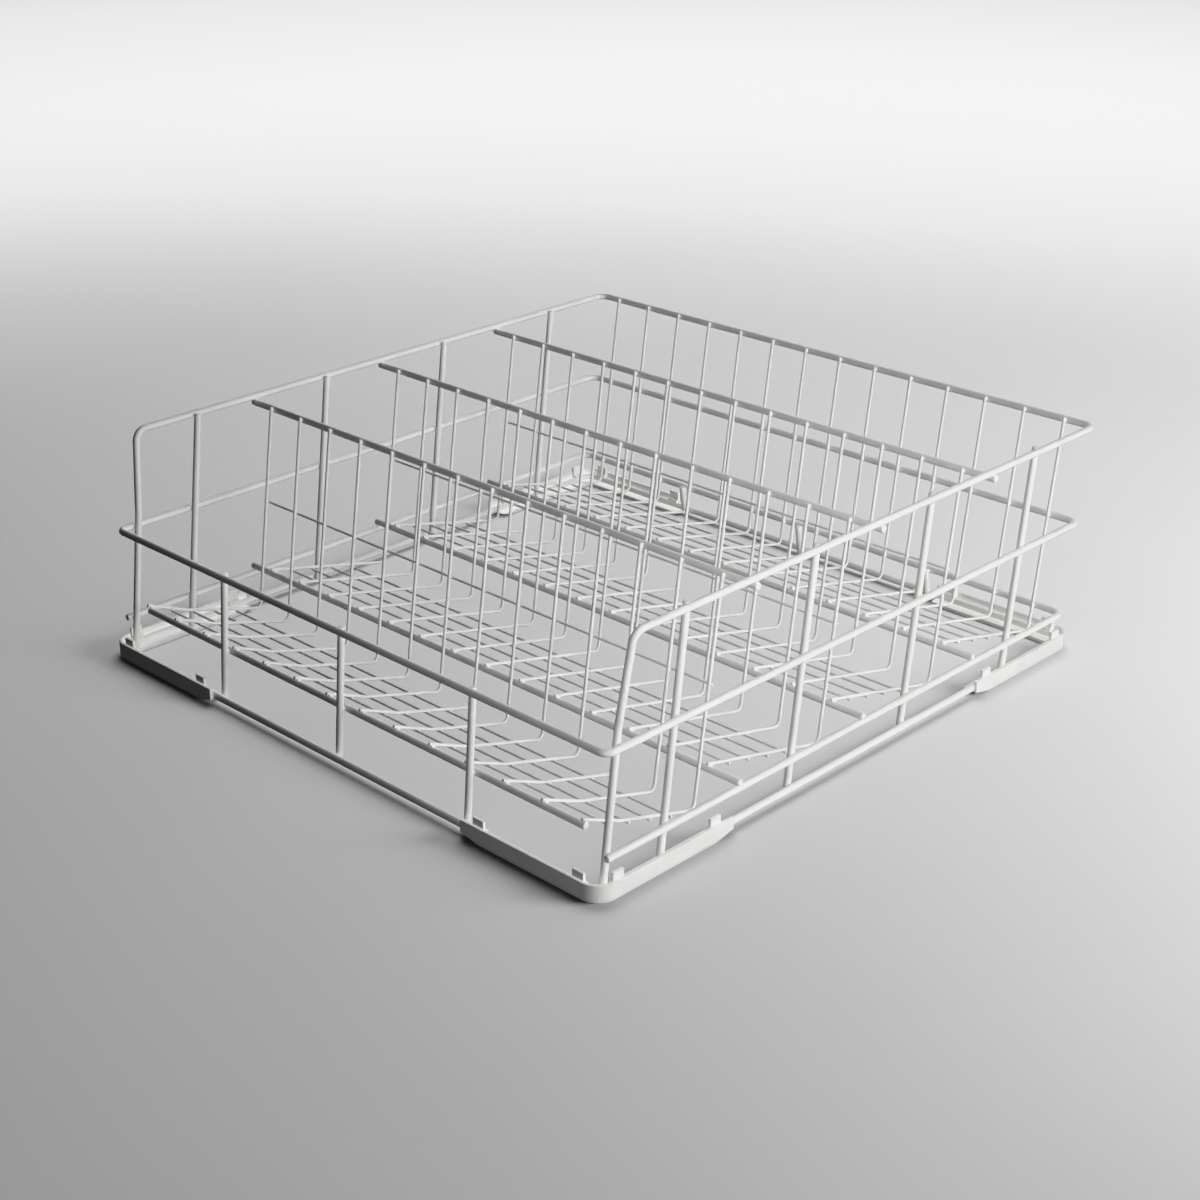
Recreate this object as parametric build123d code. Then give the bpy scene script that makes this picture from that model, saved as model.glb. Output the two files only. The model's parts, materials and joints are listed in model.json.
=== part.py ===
"""Dishwasher basket for plates: a coated wire rack with four slanted rows on four moulded corner glides.

Sizes are in millimetres. X runs to the right along the front, Y runs to the back and Z is up.
The origin is on the floor, in the middle of the basket's outline seen from above.
Depths in the functions below are measured from the front wire of the base ring.
"""
import math
import os

from build123d import *

# Outside width and depth over the corner glides: a square rack for a commercial machine.
RACK = 500.0

# Wire sizes, measured over the coat.
FRAME_WIRE = 5.0
ROW_WIRE = 2.3
CROSS_WIRE = 1.8
# Room between two wires where they are welded, so that no two pieces share space.
WELD = 0.05
# Round of the coat over a cut end, as a share of the wire's radius.
END_ROUND = 0.35

# Corner glides: an angle with a tall outer wall and a flange under the base ring.
GLIDE_WALL = 2.4
GLIDE_FLOOR = 2.8
GLIDE_HEIGHT = 12.0
GLIDE_FLANGE = 13.5
GLIDE_LEG = 120.5
GLIDE_CLEAR = 0.1
GLIDE_ROUND = 0.8
GLIDE_EDGE = 1.2
FLANGE_BEND = 0.5
RUNNER_RISE = 3.4
RUNNER_LENGTH = 16.0
TAB_WIDTH = 9.5
TAB_RISE = 4.8
TAB_INSET = 2.2
TAB_HOOK = 4.4
TAB_LIP = 2.4
TAB_NEAR = 19.5
TAB_END = 14.5
# Room by which a cutting shape stands clear of what it cuts.
CUT_MARGIN = 1.0

# Heights of the frame rings above the middle of the base ring.
LOWER_RISE = 21.0
MIDDLE_RISE = 90.0
TOP_RISE = 160.5

# Lean in degrees of the side and corner posts, of the dividers with the back, and of the front.
POST_LEAN = 7.5
ROW_LEAN = 8.5
FRONT_LEAN = 5.0

# Bends of the frame wires, on their middle line.
RAIL_BEND = 9.0
MIDDLE_FRONT_BEND = 6.0
TOP_FRONT_BEND = 9.0
CRANK_BEND = 40.0

# Posts: room of the side posts to the front and the back of the base ring,
# and of the front and back posts to the ends of the glides.
SIDE_POST_FIRST = 59.0
SIDE_POST_LAST = 71.0
SIDE_POSTS = 4
SHORT_POST_GAP = 1.0
SHORT_POSTS = 3
# Rise of the post ends above the middle of the wire that they are welded to.
SIDE_POST_TOP = 1.5
FRONT_POST_TOP = 0.8

# Rows: each has bent wires that run down from a front bar and turn up into a divider.
# The rows share the depth between the first corner and the room behind the last one.
ROWS = 4
ROW_CORNER_FIRST = 109.5
ROW_CORNER_LAST = 10.0
ROW_CORNER_RISE = 2.5
ROW_BEND = 4.5
ROW_WIRES = 14
ROW_SIDE_GAP = 14.65
# Room between a row's front bar and the uprights of the row before it.
BAR_GAP = 7.45
FIRST_BAR_RISE = 32.0
KINK_REACH = 30.0
KINK_SLOPE = 17.0
KINK_BEND = 30.0
CROSS_WIRES = 4
CROSS_FIRST = 18.0
CROSS_PITCH = 19.0
DIVIDER_WIRE_RISE = 85.5

# Sizes that follow from the ones above.
FRAME_RADIUS = FRAME_WIRE / 2
GLIDE_CORNER = GLIDE_FLANGE + FLANGE_BEND
POST_INSET = FRAME_WIRE + WELD
RING_INSET = GLIDE_WALL + GLIDE_CLEAR + FRAME_RADIUS
RING_HALF = RACK / 2 - RING_INSET
POST_X = RING_HALF - POST_INSET
BASE_BEND = GLIDE_CORNER - RING_INSET
BASE_BACK = 2 * RING_HALF
TAB_FAR = GLIDE_LEG - TAB_END
SIDE_POST_PITCH = (BASE_BACK - SIDE_POST_FIRST - SIDE_POST_LAST) / (SIDE_POSTS - 1)
SHORT_POST_X = RACK / 2 - GLIDE_LEG - SHORT_POST_GAP - FRAME_RADIUS
SHORT_POST_PITCH = 2 * SHORT_POST_X / (SHORT_POSTS - 1)
ROW_PITCH = (BASE_BACK - ROW_CORNER_FIRST - ROW_CORNER_LAST) / (ROWS - 1)
BASE_Z = GLIDE_FLOOR + GLIDE_CLEAR + FRAME_RADIUS
LOWER_Z = BASE_Z + LOWER_RISE
MIDDLE_Z = BASE_Z + MIDDLE_RISE
TOP_Z = BASE_Z + TOP_RISE
ROW_CORNER_Z = BASE_Z + ROW_CORNER_RISE
DIVIDER_Z = TOP_Z - POST_INSET
FIRST_BAR_Z = BASE_Z + FIRST_BAR_RISE
BAR_Z = LOWER_Z + POST_INSET
POST_TAN = math.tan(math.radians(POST_LEAN))
ROW_TAN = math.tan(math.radians(ROW_LEAN))
ROW_COS = math.cos(math.radians(ROW_LEAN))
FRONT_TAN = math.tan(math.radians(FRONT_LEAN))
FRONT_COS = math.cos(math.radians(FRONT_LEAN))
FOOT_Z = GLIDE_FLOOR + GLIDE_CLEAR + FRAME_RADIUS * math.sin(math.radians(POST_LEAN))
ROW_HALF = POST_X - FRAME_RADIUS - ROW_SIDE_GAP - ROW_WIRE / 2
ROW_WIRE_PITCH = 2 * ROW_HALF / (ROW_WIRES - 1)
BAR_GRIP = (FRAME_WIRE + ROW_WIRE) / 2 + WELD
CROSS_GRIP = (CROSS_WIRE + ROW_WIRE) / 2 + WELD


def upright_depth(row, z):
    """Depth of the middle line of a row's uprights at a height."""
    return ROW_CORNER_FIRST + row * ROW_PITCH + ROW_TAN * (z - ROW_CORNER_Z)


def back_depth(z):
    """Depth of a frame wire that runs behind the uprights of the last row at a height."""
    return upright_depth(ROWS - 1, z) + BAR_GRIP / ROW_COS


def front_depth(z, layers):
    """Depth at a height of the front wires: 0 for the rings, 1 for the posts, 2 for the first bar."""
    return layers * POST_INSET / FRONT_COS + FRONT_TAN * (z - BASE_Z)


def corner_post_depth(z):
    """Depth at a height of the corner posts, which stand just behind the bend of the base ring."""
    return BASE_BEND + POST_TAN * (z - BASE_Z)


FRONT_EDGE = -RING_INSET
BACK_EDGE = max(back_depth(TOP_Z) + FRAME_RADIUS, BASE_BACK + RING_INSET)
MIDDLE_DEPTH = (FRONT_EDGE + BACK_EDGE) / 2


def at(x, depth, z):
    """Point in the basket's own frame."""
    return Vector(x, depth - MIDDLE_DEPTH, z)


def round_ends(wire, size):
    """Wire with the coat's round edge on its two cut ends."""
    ends = wire.faces().filter_by(GeomType.PLANE)
    return fillet(ends.edges(), END_ROUND * size / 2)


def rod(start, end, size):
    """Straight wire."""
    run = end - start
    wire = extrude(Plane(start, z_dir=run) * Circle(size / 2), amount=run.length)
    return round_ends(wire, size)


def bent_path(points, bends, closed=False):
    """Line through the points with a round bend at each corner.

    The bends are given for the corners in turn: all points of a closed path, the inner points of an open one.
    """
    count = len(points)
    corners = range(count) if closed else range(1, count - 1)
    edges = []
    last = None if closed else points[0]
    first = None
    for corner, bend in zip(corners, bends):
        here = points[corner]
        come = (here - points[corner - 1]).normalized()
        leave = (points[(corner + 1) % count] - here).normalized()
        half_turn = math.radians(come.get_angle(leave)) / 2
        reach = bend * math.tan(half_turn)
        bulge = bend / math.cos(half_turn) - bend
        start = here - come * reach
        end = here + leave * reach
        middle = here + (leave - come).normalized() * bulge
        if last is not None:
            edges.append(Line(last, start))
        edges.append(ThreePointArc(start, middle, end))
        first = start if first is None else first
        last = end
    edges.append(Line(last, first if closed else points[-1]))
    return Wire([edge.edge() for edge in edges])


def bent_wire(points, bends, size, closed=False):
    """Wire of one size along a bent path."""
    path = bent_path(points, bends, closed)
    wire = sweep(Plane(path @ 0, z_dir=path % 0) * Circle(size / 2), path=path)
    return wire if closed else round_ends(wire, size)


def make_base_ring():
    """Closed ring that lies in the four glides."""
    corners = [at(x, depth, BASE_Z) for x, depth in
               ((-RING_HALF, 0), (RING_HALF, 0), (RING_HALF, BASE_BACK), (-RING_HALF, BASE_BACK))]
    return bent_wire(corners, [BASE_BEND] * 4, FRAME_WIRE, closed=True)


def make_lower_rail():
    """Rail along the left side, the back and the right side; its cut ends stand ahead of the corner posts."""
    front = corner_post_depth(LOWER_Z) - FRAME_WIRE
    back = back_depth(LOWER_Z)
    points = [at(x, depth, LOWER_Z) for x, depth in
              ((-RING_HALF, front), (-RING_HALF, back), (RING_HALF, back), (RING_HALF, front))]
    return bent_wire(points, [RAIL_BEND] * 2, FRAME_WIRE)


def make_middle_ring():
    """Closed ring at half height; its front stands ahead of the corner posts."""
    front = front_depth(MIDDLE_Z, 0)
    back = back_depth(MIDDLE_Z)
    corners = [at(x, depth, MIDDLE_Z) for x, depth in
               ((-RING_HALF, front), (RING_HALF, front), (RING_HALF, back), (-RING_HALF, back))]
    bends = [MIDDLE_FRONT_BEND, MIDDLE_FRONT_BEND, RAIL_BEND, RAIL_BEND]
    return bent_wire(corners, bends, FRAME_WIRE, closed=True)


def make_top_rail():
    """Top rail on three sides; both front ends turn down as corner posts, cranked in past the middle ring."""
    crank_z = MIDDLE_Z + 2 * FRAME_WIRE
    back = back_depth(TOP_Z)
    half = []
    for x, depth, z in ((POST_X, corner_post_depth(FOOT_Z), FOOT_Z),
                        (POST_X, corner_post_depth(crank_z), crank_z),
                        (RING_HALF, corner_post_depth(TOP_Z), TOP_Z),
                        (RING_HALF, back, TOP_Z)):
        half.append((x, depth, z))
    points = [at(-x, depth, z) for x, depth, z in half]
    points += [at(x, depth, z) for x, depth, z in reversed(half)]
    bends = [CRANK_BEND, TOP_FRONT_BEND, RAIL_BEND]
    return bent_wire(points, bends + bends[::-1], FRAME_WIRE)


def make_side_post(side, number):
    """Leaning post inside the rings of one side, from the base ring to the top rail."""
    foot = SIDE_POST_FIRST + number * SIDE_POST_PITCH
    top_z = TOP_Z + SIDE_POST_TOP
    start = at(side * POST_X, foot + POST_TAN * (FOOT_Z - BASE_Z), FOOT_Z)
    return rod(start, at(side * POST_X, foot + POST_TAN * (top_z - BASE_Z), top_z), FRAME_WIRE)


def make_front_post(number):
    """Short post inside the front of the base ring and of the middle ring."""
    x = number * SHORT_POST_PITCH - SHORT_POST_X
    top_z = MIDDLE_Z + FRONT_POST_TOP
    return rod(at(x, front_depth(FOOT_Z, 1), FOOT_Z), at(x, front_depth(top_z, 1), top_z), FRAME_WIRE)


def make_back_post(number):
    """Short stub inside the back of the base ring and of the lower rail."""
    x = number * SHORT_POST_PITCH - SHORT_POST_X
    run = at(0, back_depth(LOWER_Z), LOWER_Z) - at(0, BASE_BACK, BASE_Z)
    along = run.normalized()
    inward = Vector(0, -along.Z, along.Y) * POST_INSET
    foot = at(x, BASE_BACK, BASE_Z) + inward
    return rod(foot - along * FRAME_RADIUS, foot + run + along * FRAME_RADIUS, FRAME_WIRE)


def bar_place(row):
    """Depth and height of the middle of a row's front bar."""
    if row == 0:
        return front_depth(FIRST_BAR_Z, 2), FIRST_BAR_Z
    return upright_depth(row - 1, BAR_Z) + (FRAME_RADIUS + ROW_WIRE / 2 + BAR_GAP) / ROW_COS, BAR_Z


def floor_line(row):
    """Points of a row's floor from its front end to its corner, as depth and height.

    The wires lie on the front bar, so the front part of the line just touches the bar from above.
    """
    bar_depth, bar_z = bar_place(row)
    corner = (ROW_CORNER_FIRST + row * ROW_PITCH, ROW_CORNER_Z)
    points = [corner]
    if row == 0:
        kink_depth = bar_depth + KINK_REACH
        kink_z = corner[1] + (corner[0] - kink_depth) * math.tan(math.radians(KINK_SLOPE))
        points.insert(0, (kink_depth, kink_z))
    near = points[0]
    run = near[0] - bar_depth
    rise = bar_z - near[1]
    slope = math.atan2(rise, run) + math.asin(BAR_GRIP / math.hypot(run, rise))
    front_depth_end = bar_depth - FRAME_RADIUS
    points.insert(0, (front_depth_end, near[1] + (near[0] - front_depth_end) * math.tan(slope)))
    return points


def make_front_bar(row):
    """Thick bar under the front ends of a row's bent wires."""
    depth, z = bar_place(row)
    half = ROW_HALF + ROW_WIRE / 2 if row == 0 else RING_HALF + FRAME_RADIUS
    return rod(at(-half, depth, z), at(half, depth, z), FRAME_WIRE)


def make_divider_bar(row):
    """Thick bar behind the tops of a row's uprights; its ends lie under the top rail."""
    depth = upright_depth(row, DIVIDER_Z) + BAR_GRIP / ROW_COS
    half = RING_HALF + FRAME_RADIUS
    return rod(at(-half, depth, DIVIDER_Z), at(half, depth, DIVIDER_Z), FRAME_WIRE)


def make_divider_wire(row):
    """Thin cross wire behind a row's uprights at half height."""
    z = BASE_Z + DIVIDER_WIRE_RISE
    depth = upright_depth(row, z) + CROSS_GRIP / ROW_COS
    half = ROW_HALF + ROW_WIRE / 2
    return rod(at(-half, depth, z), at(half, depth, z), CROSS_WIRE)


def make_floor_wire(row, number):
    """Thin cross wire under a row's floor."""
    line = floor_line(row)
    depth = bar_place(row)[0] + CROSS_FIRST + number * CROSS_PITCH
    near, far = line[0], line[1]
    if len(line) > 2 and depth > line[1][0]:
        near, far = line[1], line[2]
    slope = math.atan2(near[1] - far[1], far[0] - near[0])
    z = far[1] + (far[0] - depth) * math.tan(slope) - CROSS_GRIP / math.cos(slope)
    half = ROW_HALF + ROW_WIRE / 2
    return rod(at(-half, depth, z), at(half, depth, z), CROSS_WIRE)


def make_bent_wires(row):
    """All bent wires of a row: floor, bend and upright in one piece each."""
    top_z = (TOP_Z if row == ROWS - 1 else DIVIDER_Z) + FRAME_RADIUS
    line = floor_line(row) + [(upright_depth(row, top_z), top_z)]
    bends = [KINK_BEND] * (len(line) - 3) + [ROW_BEND]
    wire = bent_wire([at(-ROW_HALF, depth, z) for depth, z in line], bends, ROW_WIRE)
    return Compound(children=[Pos(number * ROW_WIRE_PITCH, 0, 0) * wire for number in range(ROW_WIRES)])


def glide_section():
    """Section of a glide: an angle with round edges, its outer foot at the origin."""
    outline = Polyline((0, 0), (GLIDE_FLANGE, 0), (GLIDE_FLANGE, GLIDE_FLOOR), (GLIDE_WALL, GLIDE_FLOOR),
                       (GLIDE_WALL, GLIDE_HEIGHT), (0, GLIDE_HEIGHT), close=True)
    return fillet(make_face(outline).vertices(), GLIDE_ROUND)


def glide_tab(reach):
    """Clip tab behind the rim of the leg along -X, with a hook that reaches in over the base ring."""
    wire_top = BASE_Z + FRAME_RADIUS + GLIDE_CLEAR
    top = GLIDE_HEIGHT + TAB_RISE
    back = TAB_INSET + GLIDE_WALL
    hook = GLIDE_WALL + TAB_HOOK
    outline = Polyline((TAB_INSET, GLIDE_HEIGHT - GLIDE_EDGE), (TAB_INSET, top), (back, top),
                       (back, wire_top + TAB_LIP), (hook, wire_top + GLIDE_EDGE), (hook, wire_top),
                       (GLIDE_WALL - GLIDE_EDGE, wire_top), close=True)
    face = make_face(outline)
    face = fillet(face.vertices().group_by(Axis.Y)[-1], GLIDE_ROUND)
    side = Plane((-reach - TAB_WIDTH / 2, 0, 0), x_dir=(0, 1, 0), z_dir=(1, 0, 0))
    return extrude(side * face, amount=TAB_WIDTH)


def glide_runner():
    """Wedge that is cut away under the end of the leg along -X, so that the glide slides over edges."""
    outline = Polyline((-GLIDE_LEG - CUT_MARGIN, -CUT_MARGIN), (-GLIDE_LEG + RUNNER_LENGTH, -CUT_MARGIN),
                       (-GLIDE_LEG + RUNNER_LENGTH, 0), (-GLIDE_LEG, RUNNER_RISE),
                       (-GLIDE_LEG - CUT_MARGIN, RUNNER_RISE), close=True)
    wedge = extrude(Plane.XZ * make_face(outline), amount=-GLIDE_FLANGE - 2 * CUT_MARGIN)
    return Pos(0, -CUT_MARGIN, 0) * wedge


def make_glide(quarter):
    """Moulded corner glide, turned by quarters from the front right corner; both of its legs are alike."""
    path = bent_path([Vector(-GLIDE_LEG, 0, 0), Vector(0, 0, 0), Vector(0, GLIDE_LEG, 0)], [GLIDE_CORNER])
    body = sweep(Plane(path @ 0, x_dir=(0, 1, 0), z_dir=path % 0) * glide_section(), path=path)
    swap = Plane((0, 0, 0), x_dir=(1, 0, 0), z_dir=(1, 1, 0))
    runner = glide_runner()
    body = body - runner - mirror(runner, about=swap)
    for reach in (TAB_NEAR, TAB_FAR):
        tab = glide_tab(reach)
        body = body + tab + mirror(tab, about=swap)
    glide = Rot(0, 0, 90 * quarter) * Pos(RACK / 2, -RACK / 2, 0) * body
    return Pos(0, BASE_BACK / 2 - MIDDLE_DEPTH, 0) * glide


def make_parts():
    """All pieces of the basket by name."""
    parts = {"base_ring": make_base_ring(), "lower_rail": make_lower_rail(),
             "middle_ring": make_middle_ring(), "top_rail": make_top_rail()}
    for number in range(SIDE_POSTS):
        parts[f"left_post_{number + 1}"] = make_side_post(-1, number)
        parts[f"right_post_{number + 1}"] = make_side_post(1, number)
    for number in range(SHORT_POSTS):
        parts[f"front_post_{number + 1}"] = make_front_post(number)
        parts[f"back_post_{number + 1}"] = make_back_post(number)
    for row in range(ROWS):
        name = f"row_{row + 1}"
        parts[f"{name}_front_bar"] = make_front_bar(row)
        parts[f"{name}_bent_wires"] = make_bent_wires(row)
        for number in range(CROSS_WIRES):
            parts[f"{name}_floor_wire_{number + 1}"] = make_floor_wire(row, number)
        if row < ROWS - 1:
            parts[f"{name}_divider_bar"] = make_divider_bar(row)
            parts[f"{name}_divider_wire"] = make_divider_wire(row)
    for quarter, corner in enumerate(("front_right", "back_right", "back_left", "front_left")):
        parts[f"glide_{corner}"] = make_glide(quarter)
    return parts


def main():
    """Write every piece to its own file."""
    os.makedirs("parts", exist_ok=True)
    for name, shape in make_parts().items():
        export_step(shape, os.path.join("parts", f"{name}.step"))


if __name__ == "__main__":
    main()
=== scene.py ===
"""Looks of a dishwasher basket: coated wire, the coat at its welds, and moulded corner glides.

Shapes are worked out in millimetres and scaled to metres when a piece is finished.
X runs to the right along the front, Y runs to the back and Z is up.
Depths are measured from the front wire of the base ring.
"""
import json
import logging
import math
from dataclasses import dataclass, field
from enum import Enum

import bmesh
import bpy
from mathutils import Matrix, Vector
from mathutils.geometry import intersect_line_line

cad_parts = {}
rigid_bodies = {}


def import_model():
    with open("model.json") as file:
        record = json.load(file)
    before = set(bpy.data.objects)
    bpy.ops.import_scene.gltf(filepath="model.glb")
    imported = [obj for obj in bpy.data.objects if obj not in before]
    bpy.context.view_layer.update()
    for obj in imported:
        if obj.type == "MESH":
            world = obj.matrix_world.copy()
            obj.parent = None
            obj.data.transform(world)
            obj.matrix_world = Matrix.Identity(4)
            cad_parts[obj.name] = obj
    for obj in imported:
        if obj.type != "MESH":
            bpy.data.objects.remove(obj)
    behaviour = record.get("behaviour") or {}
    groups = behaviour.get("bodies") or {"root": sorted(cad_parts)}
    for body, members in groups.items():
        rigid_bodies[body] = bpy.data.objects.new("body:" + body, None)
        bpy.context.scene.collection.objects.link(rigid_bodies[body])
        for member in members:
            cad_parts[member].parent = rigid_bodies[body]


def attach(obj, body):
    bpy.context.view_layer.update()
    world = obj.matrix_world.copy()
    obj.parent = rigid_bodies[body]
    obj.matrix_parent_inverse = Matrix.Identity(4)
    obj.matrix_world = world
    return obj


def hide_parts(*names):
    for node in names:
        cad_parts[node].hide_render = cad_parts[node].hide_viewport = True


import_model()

LOG = logging.getLogger("basket")
MM = 0.001

Edges = list[bmesh.types.BMEdge]
Run = tuple[Vector, Vector]
Place = tuple[float, float, float]
Span = tuple[float, float]
Socket = bpy.types.NodeSocket


class Gauge(Enum):
    """Wire sizes over the coat: slot in the record, diameter, sides of the round, degrees per bend step."""

    FRAME = ("coated_frame_wire", 5.0, 20, 7.5)
    ROW = ("coated_row_wire", 2.3, 14, 11.0)
    CROSS = ("coated_cross_wire", 1.8, 12, 15.0)

    def __init__(self, slot: str, size: float, sides: int, step: float) -> None:
        """Give the members their names.

        Args:
            slot: Material slot of the record.
            size: Diameter over the coat.
            sides: Points around the wire.
            step: Degrees of turn for each ring of a bend.
        """
        self.slot = slot
        self.size = size
        self.sides = sides
        self.step = step

    @property
    def radius(self) -> float:
        """Half the diameter over the coat."""
        return self.size / 2


class Side(Enum):
    """Sides of the basket, as the sign of X."""

    LEFT = -1
    RIGHT = 1


class Corner(Enum):
    """Corners of the basket, as quarter turns from the front right one."""

    FRONT_RIGHT = 0
    BACK_RIGHT = 1
    BACK_LEFT = 2
    FRONT_LEFT = 3


@dataclass(frozen=True)
class Layout:
    """Sizes of the basket and the places that follow from them, in millimetres and degrees."""

    rack: float = 500.0
    weld: float = 0.05
    glide_wall: float = 2.4
    glide_floor: float = 2.8
    glide_clear: float = 0.1
    glide_corner: float = 14.0
    lower_rise: float = 21.0
    middle_rise: float = 90.0
    top_rise: float = 160.5
    post_lean: float = 7.5
    row_lean: float = 8.5
    front_lean: float = 5.0
    rail_bend: float = 9.0
    middle_front_bend: float = 6.0
    crank_rise: float = 10.0
    crank_bend: float = 40.0
    side_post_first: float = 59.0
    side_post_pitch: float = 120.0
    side_posts: int = 4
    short_post_pitch: float = 126.0
    short_posts: int = 3
    side_post_top: float = 1.5
    front_post_top: float = 0.8
    rows: int = 4
    row_pitch: float = 123.5
    row_corner_first: float = 109.5
    row_corner_rise: float = 2.5
    row_bend: float = 4.5
    row_wires: int = 14
    row_wire_pitch: float = 34.1
    bar_gap: float = 7.45
    first_bar_rise: float = 32.0
    kink_reach: float = 30.0
    kink_slope: float = 17.0
    kink_bend: float = 30.0
    cross_wires: int = 4
    cross_first: float = 18.0
    cross_pitch: float = 19.0
    divider_wire_rise: float = 85.5

    @property
    def inset(self) -> float:
        """Distance between two frame wires that are welded side by side."""
        return Gauge.FRAME.size + self.weld

    @property
    def ring_inset(self) -> float:
        """Distance of the base ring's middle line from the outside of the glides."""
        return self.glide_wall + self.glide_clear + Gauge.FRAME.radius

    @property
    def ring_half(self) -> float:
        """Half the width of the rings on their middle line."""
        return self.rack / 2 - self.ring_inset

    @property
    def post_x(self) -> float:
        """Distance of the side posts from the middle."""
        return self.ring_half - self.inset

    @property
    def base_back(self) -> float:
        """Depth of the back of the base ring."""
        return 2 * self.ring_half

    @property
    def base_z(self) -> float:
        """Height of the base ring."""
        return self.glide_floor + self.glide_clear + Gauge.FRAME.radius

    @property
    def foot_z(self) -> float:
        """Height of the posts' lower ends."""
        lift = Gauge.FRAME.radius * math.sin(math.radians(self.post_lean))
        return self.glide_floor + self.glide_clear + lift

    @property
    def lower_z(self) -> float:
        """Height of the lower rail."""
        return self.base_z + self.lower_rise

    @property
    def middle_z(self) -> float:
        """Height of the middle ring."""
        return self.base_z + self.middle_rise

    @property
    def top_z(self) -> float:
        """Height of the top rail."""
        return self.base_z + self.top_rise

    @property
    def divider_z(self) -> float:
        """Height of the divider bars, under the top rail."""
        return self.top_z - self.inset

    @property
    def row_half(self) -> float:
        """Distance of a row's outer wires from the middle."""
        return (self.row_wires - 1) * self.row_wire_pitch / 2

    @property
    def bar_grip(self) -> float:
        """Distance between a row wire and a frame wire that are welded."""
        return Gauge.ROW.radius + Gauge.FRAME.radius + self.weld

    @property
    def cross_grip(self) -> float:
        """Distance between a row wire and a cross wire that are welded."""
        return Gauge.ROW.radius + Gauge.CROSS.radius + self.weld

    @property
    def middle_depth(self) -> float:
        """Depth of the middle of the basket's outline."""
        return (self.back_depth(self.top_z) + Gauge.FRAME.radius - self.ring_inset) / 2

    def at(self, x: float, depth: float, z: float) -> Vector:
        """Place a point in the basket's frame.

        Args:
            x: Distance to the right of the middle.
            depth: Distance behind the front of the base ring.
            z: Height above the floor.

        Returns:
            The point.
        """
        return Vector((x, depth - self.middle_depth, z))

    def upright_depth(self, row: int, z: float) -> float:
        """Find the depth of a row's uprights.

        Args:
            row: Number of the row from the front, from 0.
            z: Height above the floor.

        Returns:
            Depth of their middle line at that height.
        """
        corner_z = self.base_z + self.row_corner_rise
        lean = math.tan(math.radians(self.row_lean))
        return self.row_corner_first + row * self.row_pitch + lean * (z - corner_z)

    def behind(self, row: int, z: float, grip: float) -> float:
        """Find the depth of a wire behind a row's uprights.

        Args:
            row: Number of the row from the front, from 0.
            z: Height above the floor.
            grip: Distance between the two middle lines.

        Returns:
            Depth of the wire's middle line.
        """
        return self.upright_depth(row, z) + grip / math.cos(math.radians(self.row_lean))

    def back_depth(self, z: float) -> float:
        """Find the depth of a frame wire behind the last row.

        Args:
            z: Height above the floor.

        Returns:
            Depth of its middle line.
        """
        return self.behind(self.rows - 1, z, self.bar_grip)

    def front_depth(self, z: float, layers: int) -> float:
        """Find the depth of a front wire.

        Args:
            z: Height above the floor.
            layers: 0 for the rings, 1 for the posts, 2 for the first bar.

        Returns:
            Depth of its middle line.
        """
        lean = math.radians(self.front_lean)
        return layers * self.inset / math.cos(lean) + math.tan(lean) * (z - self.base_z)

    def post_depth(self, foot: float, z: float) -> float:
        """Find the depth of a leaning post.

        Args:
            foot: Depth of the post at the height of the base ring.
            z: Height above the floor.

        Returns:
            Depth of its middle line.
        """
        return foot + math.tan(math.radians(self.post_lean)) * (z - self.base_z)

    def bar_place(self, row: int) -> tuple[float, float]:
        """Find the place of a row's front bar.

        Args:
            row: Number of the row from the front, from 0.

        Returns:
            Depth and height of its middle line.
        """
        if row == 0:
            z = self.base_z + self.first_bar_rise
            return self.front_depth(z, 2), z
        z = self.lower_z + self.inset
        return self.behind(row - 1, z, Gauge.FRAME.radius + Gauge.ROW.radius + self.bar_gap), z

    def floor_line(self, row: int) -> list[tuple[float, float]]:
        """Find the line of a row's floor, which lies on the row's front bar.

        Args:
            row: Number of the row from the front, from 0.

        Returns:
            Depth and height of its points, from the front end to the corner.
        """
        bar_depth, bar_z = self.bar_place(row)
        corner = (self.row_corner_first + row * self.row_pitch, self.base_z + self.row_corner_rise)
        points = [corner]
        if row == 0:
            kink = bar_depth + self.kink_reach
            points.insert(0, (kink, corner[1] + (corner[0] - kink) * math.tan(math.radians(self.kink_slope))))
        near_depth, near_z = points[0]
        run, rise = near_depth - bar_depth, bar_z - near_z
        slope = math.atan2(rise, run) + math.asin(self.bar_grip / math.hypot(run, rise))
        end = bar_depth - Gauge.FRAME.radius
        points.insert(0, (end, near_z + (near_depth - end) * math.tan(slope)))
        return points


def linear(code: str) -> tuple[float, float, float, float]:
    """Turn a screen colour into the linear colour that shaders take.

    Args:
        code: Six hexadecimal digits of an sRGB colour.

    Returns:
        Red, green, blue and full opacity.
    """
    shades = [int(code[i:i + 2], 16) / 255 for i in (0, 2, 4)]
    red, green, blue = (s / 12.92 if s <= 0.04045 else ((s + 0.055) / 1.055) ** 2.4 for s in shades)
    return red, green, blue, 1.0


def set_node(tree: bpy.types.NodeTree, node: bpy.types.Node, settings: dict, links: dict) -> bpy.types.Node:
    """Set a shader node.

    Args:
        tree: Node tree of the material.
        node: The node.
        settings: Values of its inputs or properties, by name.
        links: Output sockets that feed its inputs, by the input's name or number.

    Returns:
        The same node.
    """
    for name, value in settings.items():
        if name in node.inputs:
            node.inputs[name].default_value = value
        else:
            setattr(node, name, value)
    for name, socket in links.items():
        tree.links.new(socket, node.inputs[name])
    return node


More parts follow.
